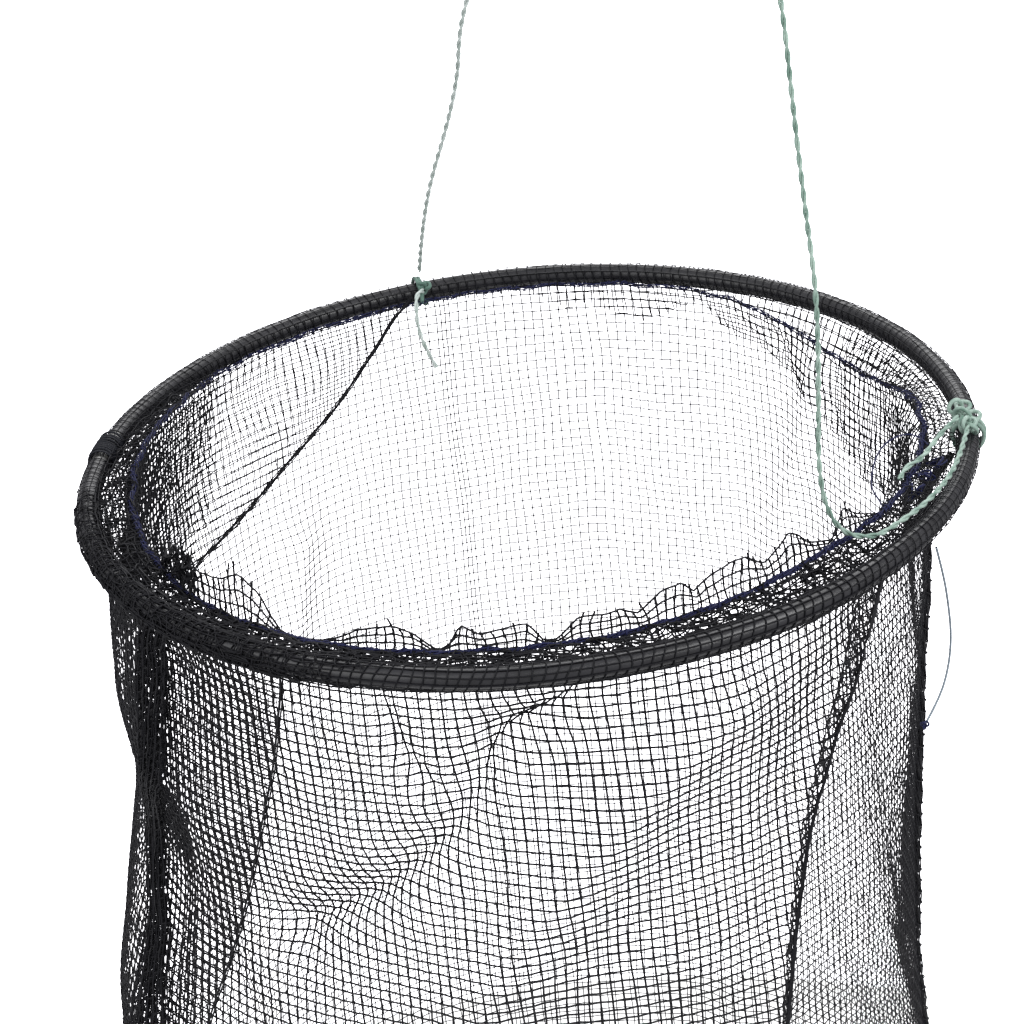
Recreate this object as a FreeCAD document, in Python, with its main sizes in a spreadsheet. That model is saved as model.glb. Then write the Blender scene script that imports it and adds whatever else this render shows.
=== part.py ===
import FreeCAD, Part
import math
import os

import Sketcher
from FreeCAD import Placement, Rotation, Vector

# Folding hoop-net trap, hung up by two cords. Millimetres, +Z up.
# Two sheathed wire hoops carry a mesh tube with a mesh base. The mouth is open.
# The origin is the point of the hang loop where a hook bears. The trap's axis stands a little to
# one side of it, because the two cords are tied to the top hoop on the same side of its middle.

OUTPUT = "parts"
os.makedirs(OUTPUT, exist_ok=True)
doc = FreeCAD.newDocument("hoop_net_trap")

# ---------------------------------------------------------------- driving dimensions

DRIVING = {
    "axis_offset_x": (-65, "trap axis from the hang point, along X"),
    "axis_offset_y": (30, "trap axis from the hang point, along Y"),
    "hang_drop": (325, "hang point above the top hoop's plane"),
    "wall_height": (400, "from the top hoop's plane to the bottom hoop's"),
    "hoop_radius": (150, "wire centreline of both hoops"),
    "wire_radius": (2.25, "steel wire"),
    "sheath_radius": (3.55, "outside of the plastic sheath"),
    "ferrule_radius": (3.4, "outside of the crimped joint sleeve"),
    "ferrule_sweep": (8, "joint sleeve along the hoop, degrees"),
    "wire_gap_sweep": (1, "gap between the wire's ends, degrees"),
    "wrap_inner_radius": (3.65, "netting rolled or lashed round a hoop, inside"),
    "roll_outer_radius": (4.5, "netting rolled round the top hoop, outside"),
    "lashing_outer_radius": (4.3, "netting lashed round the bottom hoop, outside"),
    "whipping_outer_radius": (5.4, "thread wound over the top hoop's joint"),
    "whipping_sweep": (6, "the winding along the hoop, degrees"),
    "net_thickness": (1.0, "netting with its folds, as a plain wall"),
    "soft_gap": (0.4, "air between a soft solid and its neighbour"),
    "band_width": (10, "doubled netting from the roll to its seam"),
    "band_fall": (3, "how much lower the band's inner edge lies"),
    "band_thickness": (1.2, "two layers of netting"),
    "ruffle_height": (10, "raw edge past the seam"),
    "ruffle_thickness": (1.2, "gathered raw edge"),
    "stitch_radius": (0.6, "hem stitching"),
    "seam_width": (7, "turned and stitched side seam"),
    "seam_thickness": (1.6, "side seam and lap folds, out from the wall"),
    "overlap_sweep": (30, "doubled netting where the wall's ends lap, degrees"),
    "overlap_thickness": (0.8, "lapped layer"),
    "fold_width": (14, "gathered folds along the lap"),
    "flap_radius": (147.6, "inside of the inner flap"),
    "flap_thickness": (0.8, "inner flap"),
    "flap_depth": (82, "inner flap at its deep end"),
    "cord_radius": (0.9, "twisted cord"),
    "thread_radius": (0.35, "fine thread"),
    "tie_radius": (5.7, "cord centreline where it is tied round the hem"),
}
# Where things stand round the trap, in degrees from +X.
JOINT_ANGLE = {"top": 168, "bottom": 140}
LEFT_TIE_ANGLE = 103
RIGHT_TIE_ANGLE = -9
SEAM_ANGLE = -12
SEAM_END_ANGLE = -22
OVERLAP_ANGLE = 206
FOLD_ANGLE = 211
FLAP_START = 105
FLAP_END = 170

sheet = doc.addObject("Spreadsheet::Sheet", "dimensions")
for row, (alias, (size, note)) in enumerate(DRIVING.items(), start=1):
    sheet.set(f"A{row}", note)
    sheet.set(f"B{row}", str(size))
    sheet.setAlias(f"B{row}", alias)
doc.recompute()


def value(alias):
    """A driving dimension as a plain number."""
    return float(sheet.get(alias))


def sized(words):
    """An expression in which each name in braces is a cell of the sheet."""
    return words.replace("{", "dimensions.").replace("}", "")


LEVEL = {
    "top": sized("-{hang_drop}"),
    "bottom": sized("-{hang_drop} - {wall_height}"),
}
TOP_CLEAR = sized("({whipping_outer_radius} + {soft_gap})")
LASHING_CLEAR = sized("({lashing_outer_radius} + {soft_gap})")
HEM_EDGE = sized("({hoop_radius} - {whipping_outer_radius} - {soft_gap})")
SEAM_LINE = sized("({hoop_radius} - {whipping_outer_radius} - {soft_gap} - {band_width})")
subparts = []


def bind(obj, **expressions):
    """Ties properties to the sheet. A double underscore stands for a dot."""
    for name, expression in expressions.items():
        obj.setExpression(name.replace("__", "."), expression)


def keep(obj, label, level, rise="0", turn=0, place=Vector(0, 0, 0)):
    """Names a sub-part and places it from the trap's axis at a hoop's level, turned about Z."""
    obj.Label = label
    obj.Placement = Placement(Vector(0, 0, 0), Rotation(Vector(0, 0, 1), turn))
    bind(
        obj,
        Placement__Base__x=f"dimensions.axis_offset_x + ({place.x:.3f})",
        Placement__Base__y=f"dimensions.axis_offset_y + ({place.y:.3f})",
        Placement__Base__z=f"{LEVEL[level]} + ({rise}) + ({place.z:.3f})",
    )
    subparts.append(obj)


def torus(name, tube, sweep="360", ring=sized("{hoop_radius}")):
    obj = doc.addObject("Part::Torus", name)
    bind(obj, Radius1=ring, Radius2=tube, Angle3=sweep)
    return obj


def tube_ring(name, outer, inner, sweep="360"):
    """A bent tube: a torus with a thinner torus taken out of it."""
    cut = doc.addObject("Part::Cut", name)
    cut.Base = torus(name + "_outer", outer, sweep)
    cut.Tool = torus(name + "_inner", inner)
    return cut


# ---------------------------------------------------------------- hoops

def make_hoop(which):
    """A wire with a butt joint, a crimped sleeve over the joint, and a sheath over the rest."""
    joint = JOINT_ANGLE[which]
    half_gap = value("wire_gap_sweep") / 2
    half_sleeve = value("ferrule_sweep") / 2
    wire = torus(which + "_wire", sized("{wire_radius}"), sized("360 - {wire_gap_sweep}"))
    keep(wire, which + "_hoop_wire", which, turn=joint + half_gap)
    sleeve = tube_ring(
        which + "_sleeve",
        sized("{ferrule_radius}"),
        sized("{wire_radius}"),
        sized("{ferrule_sweep}"),
    )
    keep(sleeve, which + "_hoop_ferrule", which, turn=joint - half_sleeve)
    cover = tube_ring(
        which + "_cover",
        sized("{sheath_radius}"),
        sized("{wire_radius}"),
        sized("360 - {ferrule_sweep}"),
    )
    keep(cover, which + "_hoop_sheath", which, turn=joint + half_sleeve)


def make_wraps():
    """The netting that closes round each hoop, and the winding over the top hoop's joint."""
    inside = sized("{wrap_inner_radius}")
    keep(tube_ring("roll", sized("{roll_outer_radius}"), inside), "hem_roll", "top")
    lashing = tube_ring("lashing", sized("{lashing_outer_radius}"), inside)
    keep(lashing, "bottom_hoop_lashing", "bottom")
    winding = tube_ring(
        "winding",
        sized("{whipping_outer_radius}"),
        sized("{roll_outer_radius} + 0.05"),
        sized("{whipping_sweep}"),
    )
    keep(winding, "joint_whipping", "top", turn=JOINT_ANGLE["top"] - value("whipping_sweep") / 2)


for hoop in LEVEL:
    make_hoop(hoop)
make_wraps()


# ---------------------------------------------------------------- turned and padded netting

def new_sketch(body, name, role):
    sketch = body.newObject("Sketcher::SketchObject", name)
    for plane in body.Origin.OriginFeatures:
        if plane.Role == role:
            sketch.AttachmentSupport = [(plane, "")]
    sketch.MapMode = "FlatFace"
    return sketch


def circle(sketch, name, radius):
    """A circle about the sketch's origin whose radius follows the sheet."""
    number = sketch.addGeometry(Part.Circle(Vector(0, 0, 0), Vector(0, 0, 1), 100), False)
    sketch.addConstraint(Sketcher.Constraint("Coincident", number, 3, -1, 1))
    held = sketch.addConstraint(Sketcher.Constraint("Radius", number, 100))
    sketch.renameConstraint(held, name)
    sketch.setExpression("Constraints." + name, radius)


def padded_rings(label, level, radii, height, top):
    """One or two circles padded downwards from a given top: a disc or a short wall."""
    body = doc.addObject("PartDesign::Body", label + "_body")
    sketch = new_sketch(body, label + "_outline", "XY_Plane")
    for number, radius in enumerate(radii):
        circle(sketch, f"radius_{number}", radius)
    pad = body.newObject("PartDesign::Pad", label + "_pad")
    pad.Profile = sketch
    bind(pad, Length=height)
    pad.Reversed = True
    keep(body, label, level, rise=top)


def make_band():
    """The hem's band: a thin sloping section turned about the trap's axis."""
    body = doc.addObject("PartDesign::Body", "hem_band_body")
    sketch = new_sketch(body, "hem_band_section", "XZ_Plane")
    outer = value("hoop_radius") - value("whipping_outer_radius") - value("soft_gap")
    inner = outer - value("band_width")
    half = value("band_thickness") / 2
    fall = value("band_fall")
    corners = [
        Vector(outer, -half, 0),
        Vector(outer, half, 0),
        Vector(inner, half - fall, 0),
        Vector(inner, -half - fall, 0),
    ]
    for corner, following in zip(corners, corners[1:] + corners[:1]):
        sketch.addGeometry(Part.LineSegment(corner, following), False)
    for number in range(4):
        sketch.addConstraint(Sketcher.Constraint("Coincident", number, 2, (number + 1) % 4, 1))
    for line in (0, 2):
        sketch.addConstraint(Sketcher.Constraint("Vertical", line))
    edges = {"outer_edge": (0, outer, HEM_EDGE), "inner_edge": (2, inner, SEAM_LINE)}
    for name, (line, size, expression) in edges.items():
        held = sketch.addConstraint(Sketcher.Constraint("DistanceX", -1, 1, line, 1, size))
        sketch.renameConstraint(held, name)
        sketch.setExpression("Constraints." + name, expression)
    turned = body.newObject("PartDesign::Revolution", "hem_band_turned")
    turned.Profile = sketch
    turned.ReferenceAxis = (sketch, ["V_Axis"])
    turned.Angle = 360
    keep(body, "hem_band", "top")


WALL_RADII = (
    sized("{hoop_radius} + {net_thickness} / 2"),
    sized("{hoop_radius} - {net_thickness} / 2"),
)
WALL_LENGTH = sized("{wall_height}") + f" - {TOP_CLEAR} - {LASHING_CLEAR}"
padded_rings("wall_net", "top", WALL_RADII, WALL_LENGTH, f"-{TOP_CLEAR}")
padded_rings(
    "base_net",
    "bottom",
    (sized("{hoop_radius}") + f" - {LASHING_CLEAR}",),
    sized("{net_thickness}"),
    sized("{net_thickness} / 2"),
)
make_band()
padded_rings(
    "hem_ruffle",
    "top",
    (f"{SEAM_LINE} - 0.3", sized(f"{SEAM_LINE} - 0.3 - {{ruffle_thickness}}")),
    sized("{ruffle_height}"),
    sized("{ruffle_height} / 2 - {band_fall}"),
)
stitches = torus("hem_thread", sized("{stitch_radius}"), ring=f"{SEAM_LINE} + 1.2")
keep(stitches, "hem_stitching", "top", rise="-1.3")


# ---------------------------------------------------------------- strips along the walls

def strip(name, inner, thickness, height, sweep):
    """A curved strip that lies against the wall: a sector of a tube, from its foot upwards."""
    cut = doc.addObject("Part::Cut", name)
    cut.Base = doc.addObject("Part::Cylinder", name + "_outer")
    cut.Tool = doc.addObject("Part::Cylinder", name + "_inner")
    bind(cut.Base, Radius=f"{inner} + {thickness}", Height=height, Angle=sweep)
    bind(cut.Tool, Radius=inner, Height=height)
    return cut


def make_strips():
    """Side seam, lapped layer and lap folds."""
    outside = sized("({hoop_radius} + {net_thickness} / 2 + 0.1)")
    over_lap = sized("({hoop_radius} + {net_thickness} / 2 + {overlap_thickness} + 0.2)")
    seam_sweep = sized("{seam_width} * 180 / (pi * {hoop_radius})")
    fold_sweep = sized("{fold_width} * 180 / (pi * {hoop_radius})")
    thin = sized("{overlap_thickness}")
    thick = sized("{seam_thickness}")
    strips = {
        "side_seam": (outside, thick, seam_sweep, SEAM_ANGLE),
        "net_overlap": (outside, thin, sized("{overlap_sweep}"), OVERLAP_ANGLE),
        "lap_fold": (over_lap, thick, fold_sweep, FOLD_ANGLE),
    }
    for name, (inner, thickness, sweep, start) in strips.items():
        piece = strip(name + "_strip", inner, thickness, WALL_LENGTH, sweep)
        keep(piece, name, "top", rise=f"-{TOP_CLEAR} - ({WALL_LENGTH})", turn=start)


make_strips()


# ---------------------------------------------------------------- places round the top hoop

def on_hoop(angle, radius, rise):
    """A point from the trap's axis at the top hoop's plane."""
    turned = math.radians(angle)
    return Vector(radius * math.cos(turned), radius * math.sin(turned), rise)


def make_flap():
    """A three-cornered flap inside the wall: a strip that a tilted block cuts off along a slope."""
    top = -(value("whipping_outer_radius") + value("soft_gap"))
    depth = value("flap_depth")
    patch = strip(
        "flap_patch",
        sized("{flap_radius}"),
        sized("{flap_thickness}"),
        sized("{flap_depth}"),
        str(FLAP_END - FLAP_START),
    )
    patch.Placement = Placement(Vector(0, 0, top - depth), Rotation(Vector(0, 0, 1), FLAP_START))
    margin = 1
    high = on_hoop(FLAP_START, value("flap_radius"), top - margin)
    low = on_hoop(FLAP_END, value("flap_radius"), top - depth + margin)
    slope = (low - high).normalize()
    outward = on_hoop((FLAP_START + FLAP_END) / 2, 1, 0)
    up = outward.cross(slope).normalize()
    if up.z < 0:
        up = up.negative()
    across = up.cross(slope)
    block = doc.addObject("Part::Box", "flap_block")
    block.Length = 400
    block.Width = 400
    block.Height = 200
    corner = (high + low) * 0.5 - slope * 200 - across * 200 - up * 200
    block.Placement = Placement(corner, Rotation(slope, across, up, "ZXY"))
    flap = doc.addObject("Part::Cut", "flap")
    flap.Base = patch
    flap.Tool = block
    keep(flap, "inner_flap", "top")


make_flap()


# ---------------------------------------------------------------- cords

ARC_SHARE = 0.45
CORD = value("cord_radius")
THREAD = value("thread_radius")
FLAP_ROLL = 1.3
APEX = Vector(65, -30, 290)


def cord_path(points):
    """Straight runs joined by tangent arcs, each arc as large as its two runs allow."""
    edges = []
    radii = []
    start = points[0]
    for before, corner, after in zip(points, points[1:], points[2:]):
        run_in = corner - before
        run_out = after - corner
        turn = run_in.getAngle(run_out)
        trim = ARC_SHARE * min(run_in.Length, run_out.Length)
        radius = trim / math.tan(turn / 2)
        way_in = Vector(run_in).normalize()
        way_out = Vector(run_out).normalize()
        first = corner - way_in * trim
        last = corner + way_out * trim
        inward = (way_out - way_in).normalize()
        middle = corner + inward * (radius / math.cos(turn / 2) - radius)
        edges.append(Part.LineSegment(start, first).toShape())
        edges.append(Part.Arc(first, middle, last).toShape())
        radii.append(radius)
        start = last
    edges.append(Part.LineSegment(start, points[-1]).toShape())
    return Part.Wire(edges), min(radii)


def cord(label, points, radius):
    """A round cord along a route that is given from the trap's axis at the top hoop's plane."""
    path, smallest = cord_path(points)
    ring = Part.Circle(points[0], points[1] - points[0], radius).toShape()
    solid = path.makePipeShell([Part.Wire([ring])], True, False)
    share = solid.Volume / (math.pi * radius * radius * path.Length)
    print(f"{label}: {path.Length:.1f} mm, smallest bend {smallest:.1f} mm, volume {share:.3f}")
    if abs(share - 1) > 0.02:
        raise ValueError(f"{label}: the swept volume is wrong")
    obj = doc.addObject("Part::Feature", label + "_tube")
    obj.Shape = solid
    keep(obj, label, "top")


LEFT_CORD = [
    on_hoop(LEFT_TIE_ANGLE, 149, 9),
    Vector(-30.7, 129.8, 30),
    Vector(-24.8, 116.2, 56),
    Vector(-16.7, 103.6, 80),
    Vector(-10.2, 91, 104),
    Vector(-8.1, 80.5, 124),
    Vector(-2, 70, 144),
    Vector(4.5, 59.6, 164),
    Vector(13, 42.5, 186),
    Vector(26, 21, 214),
    Vector(44, -5, 250),
    APEX,
]
RIGHT_CORD = [
    on_hoop(RIGHT_TIE_ANGLE - 0.8, 150.3, 6.6),
    on_hoop(-20.8, 150, 5.9),
    on_hoop(-31.5, 148, 5.9),
    on_hoop(-38.4, 144.6, 5.4),
    on_hoop(-42.1, 142.8, 4.9),
    on_hoop(-45.8, 138.1, 8.7),
    Vector(90.8, -100.8, 18),
    Vector(88.9, -98.2, 32),
    Vector(90.7, -93.5, 54),
    Vector(92.6, -86.5, 84),
    Vector(91, -78.5, 112),
    Vector(89.7, -71.5, 142),
    Vector(88.9, -64.5, 172),
    Vector(84, -55, 206),
    Vector(76, -44, 248),
    APEX,
]
LEFT_TAIL = [
    on_hoop(LEFT_TIE_ANGLE + 0.2, 143.5, 2.8),
    on_hoop(LEFT_TIE_ANGLE + 1.6, 138.5, 4.6),
    on_hoop(LEFT_TIE_ANGLE + 2.6, 133, 2),
    on_hoop(LEFT_TIE_ANGLE + 3, 130.5, -6),
    on_hoop(LEFT_TIE_ANGLE + 2.2, 129.8, -15),
    on_hoop(LEFT_TIE_ANGLE + 0.6, 130.5, -24),
]
RIGHT_TAIL = [
    on_hoop(RIGHT_TIE_ANGLE - 1.4, 146.7, 9),
    on_hoop(RIGHT_TIE_ANGLE - 5, 142.3, 8.6),
    on_hoop(RIGHT_TIE_ANGLE - 7.3, 139.9, 7.4),
    on_hoop(RIGHT_TIE_ANGLE - 11.8, 137.3, 6.2),
    on_hoop(RIGHT_TIE_ANGLE - 13.5, 132.4, 4.9),
    on_hoop(RIGHT_TIE_ANGLE - 16.1, 132.5, 3.6),
]
FLAP_EDGE = [
    on_hoop(106, 145.4, -7.5),
    on_hoop(116, 145.2, -21),
    on_hoop(128, 145.0, -38.5),
    on_hoop(141, 145.2, -58),
    on_hoop(153, 145.4, -74.5),
    on_hoop(163, 145.6, -86),
]
LOOSE_THREAD = [
    on_hoop(-34.6, 153.4, -5.6),
    on_hoop(-33.3, 154, -17),
    on_hoop(-32.1, 154, -29.5),
    on_hoop(-31.2, 153.8, -43),
    on_hoop(-32, 153.4, -54),
    on_hoop(-34.6, 153, -62),
    on_hoop(-38.6, 153, -66),
]
HANG_LOOP = [
    APEX + Vector(-1.5, 0, 4),
    APEX + Vector(-9.5, 0, 8.5),
    APEX + Vector(-18, 0.6, 16.5),
    APEX + Vector(-18.8, 0.4, 27.5),
    APEX + Vector(-9.5, 0, value("hang_drop") + CORD - APEX.z),
    APEX + Vector(9.5, 0, value("hang_drop") + CORD - APEX.z),
    APEX + Vector(19, -0.4, 27.5),
    APEX + Vector(18.5, -0.6, 17),
    APEX + Vector(10, 0, 8.7),
    APEX + Vector(1.5, 0, 4),
]

cord("left_cord", LEFT_CORD, CORD)
cord("right_cord", RIGHT_CORD, CORD)
cord("left_cord_tail", LEFT_TAIL, CORD)
cord("right_cord_tail", RIGHT_TAIL, CORD)
cord("hang_loop", HANG_LOOP, CORD)
cord("loose_thread", LOOSE_THREAD, THREAD)
cord("flap_edge", FLAP_EDGE, FLAP_ROLL)


# ---------------------------------------------------------------- knots

def lump(name, across, along, tall):
    """The body of a knot: a flattened ball."""
    ball = doc.addObject("Part::Ellipsoid", name)
    ball.Radius1 = tall
    ball.Radius2 = across
    ball.Radius3 = along
    return ball


def tied_knot(label, angle, place, ball):
    """A cord's turn round the rolled hem, with its knot."""
    about_z = Rotation(Vector(0, 0, 1), angle)
    turn = torus(label + "_turn", sized("{cord_radius}"), ring=sized("{tie_radius}"))
    upright = Rotation(Vector(1, 0, 0), 90)
    turn.Placement = Placement(on_hoop(angle, value("hoop_radius"), 0), about_z * upright)
    ball.Placement = Placement(place, about_z)
    knot = doc.addObject("Part::Fuse", label + "_fused")
    knot.Base = turn
    knot.Tool = ball
    keep(knot, label, "top")


left_place = on_hoop(LEFT_TIE_ANGLE, 145.2, 5.3)
right_place = on_hoop(RIGHT_TIE_ANGLE, 147.8, 7.7)
seam_place = on_hoop(SEAM_END_ANGLE, 138.5, 0)
tied_knot("left_cord_knot", LEFT_TIE_ANGLE, left_place, lump("left_lump", 3.4, 3.6, 3.2))
tied_knot("right_cord_knot", RIGHT_TIE_ANGLE, right_place, lump("right_lump", 4.2, 5, 3.2))
keep(lump("apex_lump", 4.8, 4.2, 6.2), "apex_knot", "top", place=APEX)
keep(
    lump("seam_lump", 4.2, 6.4, 2.8),
    "seam_end_knot",
    "top",
    turn=SEAM_END_ANGLE,
    place=seam_place,
)
keep(lump("thread_lump", 1.3, 1.3, 1.6), "loose_thread_knot", "top", place=LOOSE_THREAD[-1])


# ---------------------------------------------------------------- checks and export

def check_and_export():
    doc.recompute()
    for obj in doc.Objects:
        if "Invalid" in obj.State or "Error" in obj.State:
            raise ValueError(f"{obj.Label} didn't recompute: {obj.State}")
    for obj in subparts:
        if obj.Shape.isNull() or not obj.Shape.isValid():
            raise ValueError(f"{obj.Label} has no valid shape")
        if obj.Shape.Volume <= 0:
            raise ValueError(f"{obj.Label} has no volume")
    for obj in subparts:
        obj.Shape.exportStep(f"{OUTPUT}/{obj.Label}.step")
    print(f"{len(subparts)} sub-parts")


check_and_export()
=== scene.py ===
import math

import bpy
import numpy as np
from mathutils import Matrix, Vector


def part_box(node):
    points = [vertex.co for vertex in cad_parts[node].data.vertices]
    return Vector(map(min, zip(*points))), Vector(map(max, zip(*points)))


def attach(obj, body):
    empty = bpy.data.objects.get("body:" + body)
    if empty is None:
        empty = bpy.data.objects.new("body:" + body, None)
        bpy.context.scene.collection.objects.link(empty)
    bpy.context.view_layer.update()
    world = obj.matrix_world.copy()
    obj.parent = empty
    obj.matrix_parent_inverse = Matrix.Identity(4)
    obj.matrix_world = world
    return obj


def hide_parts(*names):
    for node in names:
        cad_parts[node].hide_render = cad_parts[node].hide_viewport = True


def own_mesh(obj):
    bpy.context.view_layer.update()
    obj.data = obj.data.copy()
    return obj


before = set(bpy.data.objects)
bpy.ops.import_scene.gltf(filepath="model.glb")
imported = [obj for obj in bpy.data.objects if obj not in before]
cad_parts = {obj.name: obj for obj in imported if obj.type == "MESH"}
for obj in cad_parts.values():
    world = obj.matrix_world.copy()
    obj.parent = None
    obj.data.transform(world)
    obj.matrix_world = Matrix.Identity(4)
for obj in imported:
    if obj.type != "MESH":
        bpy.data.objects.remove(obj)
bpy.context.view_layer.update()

# Shapes are worked out in millimetres from the top hoop's centre, with +Z up and angles from +X,
# and are moved to the row's frame in metres when a mesh is made.


def node_box(node):
    low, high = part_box(node)
    return np.array(low) * 1000, np.array(high) * 1000


ROLL_LOW, ROLL_HIGH = node_box("hem_roll")
BOTTOM_LOW, BOTTOM_HIGH = node_box("bottom_hoop_lashing")
CENTRE = (ROLL_LOW + ROLL_HIGH) / 2
HOOP = (ROLL_HIGH[0] - ROLL_LOW[0] - ROLL_HIGH[2] + ROLL_LOW[2]) / 2
WALL = CENTRE[2] - (BOTTOM_LOW[2] + BOTTOM_HIGH[2]) / 2
FLOOR_DROP = 160
FLOOR_RADIUS = 450
SEAM = HOOP - 15.8
ROLL = 3.9
PITCH = 3.6
THREAD = 0.34
CORD_DIAMETER = 1.8
CORD_LAY = 10.5
COLUMNS = round(2 * math.pi * HOOP / PITCH)
STEP = 360 / COLUMNS
TIE_LEFT = 103
TIE_RIGHT = -9


# ---------------------------------------------------------------- small mathematics

def ring_point(angle, radius, rise):
    """A point from the top hoop's centre, for numbers or arrays; the angle is in degrees."""
    turned = np.radians(angle)
    return np.stack(
        np.broadcast_arrays(radius * np.cos(turned), radius * np.sin(turned), rise), axis=-1
    ).astype(float)


def ring_points(*places):
    """Points round the trap's axis, each given by its angle, radius and height."""
    return [tuple(ring_point(*place)) for place in places]


def to_frame(points):
    """Millimetres from the top hoop's centre to metres in the row's frame."""
    return (np.asarray(points) + CENTRE) / 1000


def unit(vectors):
    return vectors / np.maximum(np.linalg.norm(vectors, axis=-1, keepdims=True), 1e-9)


def smooth(low, high, value):
    """0 up to low, 1 from high on, and a smooth step between; low may be the larger."""
    share = np.clip((value - low) / (high - low), 0, 1)
    return share * share * (3 - 2 * share)


def turn_between(angle, middle):
    """How far angle is from middle, from -180 to 180 degrees."""
    return (angle - middle + 180) % 360 - 180


def hill(angle, middle, half_width):
    """1 at the middle, falling to 0 at half_width to each side."""
    away = np.clip(np.abs(turn_between(angle, middle)) / half_width, 0, 1)
    return 0.5 + 0.5 * np.cos(math.pi * away)


def thread_at(angle):
    """The radius of the mesh's thread, which is stoutest at the front."""
    places = [0, 14, 32, 140, 196, 207, 225, 304, 322, 342]
    sizes = [0.22, 0.24, 0.262, 0.262, 0.27, 0.33, 0.40, 0.40, 0.30, 0.22]
    return np.interp(angle, places, sizes, period=360)


def ripple(angle, along, seed, turns, lengths, waves=14):
    """Seeded uneven waves that close round the hoop: about -1 to 1.

    turns is the range of waves round the hoop, and lengths the range of wavelengths along."""
    dice = np.random.default_rng(seed)
    total = 0
    for _ in range(waves):
        count = round(dice.uniform(*turns))
        length = dice.uniform(*lengths)
        phase = dice.uniform(0, 2 * math.pi, 2)
        total = total + np.sin(np.radians(angle) * count + phase[0]) * np.cos(
            2 * math.pi * along / length + phase[1]
        )
    return total / math.sqrt(waves)


# ---------------------------------------------------------------- meshes

def add_object(name, data):
    thing = bpy.data.objects.new(name, data)
    bpy.context.scene.collection.objects.link(thing)
    return thing


def mesh_piece(name, parts, material, body, stands_for=()):
    """One object of quads from (vertices, faces) pairs, riding on a body."""
    vertices = []
    faces = []
    start = 0
    for points, quads in parts:
        vertices.append(points)
        faces.append(quads + start)
        start += len(points)
    vertices = to_frame(np.concatenate(vertices))
    faces = np.concatenate(faces)
    used = np.unique(faces)
    renumber = np.zeros(len(vertices), dtype=np.int64)
    renumber[used] = np.arange(len(used))
    vertices = vertices[used]
    faces = renumber[faces]
    mesh = bpy.data.meshes.new(name)
    mesh.vertices.add(len(vertices))
    mesh.vertices.foreach_set("co", vertices.astype(np.float32).ravel())
    mesh.loops.add(faces.size)
    mesh.loops.foreach_set("vertex_index", faces.astype(np.int32).ravel())
    mesh.polygons.add(len(faces))
    mesh.polygons.foreach_set("loop_start", np.arange(0, faces.size, 4, dtype=np.int32))
    mesh.polygons.foreach_set("use_smooth", np.ones(len(faces), dtype=bool))
    mesh.update(calc_edges=True)
    mesh.validate()
    mesh.materials.append(material)
    piece = add_object(name, mesh)
    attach(piece, body)
    if stands_for:
        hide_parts(*stands_for)
    return piece


def netting(name, parts, stands_for=(), body="top_hoop"):
    """A piece of the black mesh."""
    return mesh_piece(name, parts, NET_BLACK, body, stands_for)


def stitching(name, parts, stands_for=(), material=None, body="top_hoop"):
    """A piece of sewing thread, navy where no other is named."""
    return mesh_piece(name, parts, material or NAVY, body, stands_for)


def tubes(lines, normals, radius, sides=3, keep=None, closed=False):
    """Round threads along many lines at once: lines and normals are (threads, points, 3).

    keep says which lengths between two points are made, and closed joins each line's ends."""
    if closed:
        along = np.roll(lines, -1, axis=1) - np.roll(lines, 1, axis=1)
    else:
        along = np.gradient(lines, axis=1)
    along = unit(along)
    side = unit(np.cross(along, normals))
    up = np.cross(side, along)
    angles = np.arange(sides) * 2 * math.pi / sides + math.pi / 2
    spokes = np.cos(angles)[:, None] * side[:, :, None] + np.sin(angles)[:, None] * up[:, :, None]
    thickness = np.broadcast_to(radius, lines.shape[:2])[:, :, None, None]
    points = (lines[:, :, None] + thickness * spokes).reshape(-1, 3)
    threads, count = lines.shape[:2]
    grid = np.arange(threads * count * sides).reshape(threads, count, sides)
    here = grid if closed else grid[:, :-1]
    there = np.roll(grid, -1, axis=1) if closed else grid[:, 1:]
    faces = np.stack(
        [here, np.roll(here, -1, axis=2), np.roll(there, -1, axis=2), there], axis=-1
    )
    if keep is not None:
        faces = faces[keep]
    return points, faces.reshape(-1, 4)


def surface_normals(grid, closed=False):
    """Unit normals of a (columns, points, 3) grid of points."""
    if closed:
        across = np.roll(grid, -1, axis=0) - np.roll(grid, 1, axis=0)
    else:
        across = np.gradient(grid, axis=0)
    return unit(np.cross(across, np.gradient(grid, axis=1)))


def woven(grid, fine=1, closed=False, keep=None, radius=THREAD, lift=0.2):
    """Two sets of threads that cross over and under each other on a grid of points.

    The grid has fine steps from one thread to the next. keep masks the grid's points, and radius
    is one number or the thread's radius at each point."""
    normals = surface_normals(grid, closed)
    columns, rows = grid.shape[:2]
    radius = np.broadcast_to(radius, (columns, rows))
    column = np.arange(columns)[:, None] / fine
    row = np.arange(rows)[None, :] / fine
    wave = np.cos(math.pi * column) * np.cos(math.pi * row)
    raised = grid + normals * (lift * wave)[:, :, None]
    lowered = grid - normals * (lift * wave)[:, :, None]
    down_keep = round_keep = None
    if keep is not None:
        chosen = keep[::fine]
        down_keep = chosen[:, :-1] & chosen[:, 1:]
        chosen = keep[:, ::fine].T
        round_keep = chosen[:, :-1] & chosen[:, 1:]
        if closed:
            round_keep = chosen & np.roll(chosen, -1, axis=1)
    downs = raised[::fine], normals[::fine], radius[::fine]
    rounds = (each[:, ::fine].swapaxes(0, 1) for each in (lowered, normals, radius))
    return [tubes(*downs, keep=down_keep), tubes(*rounds, keep=round_keep, closed=closed)]


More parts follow.
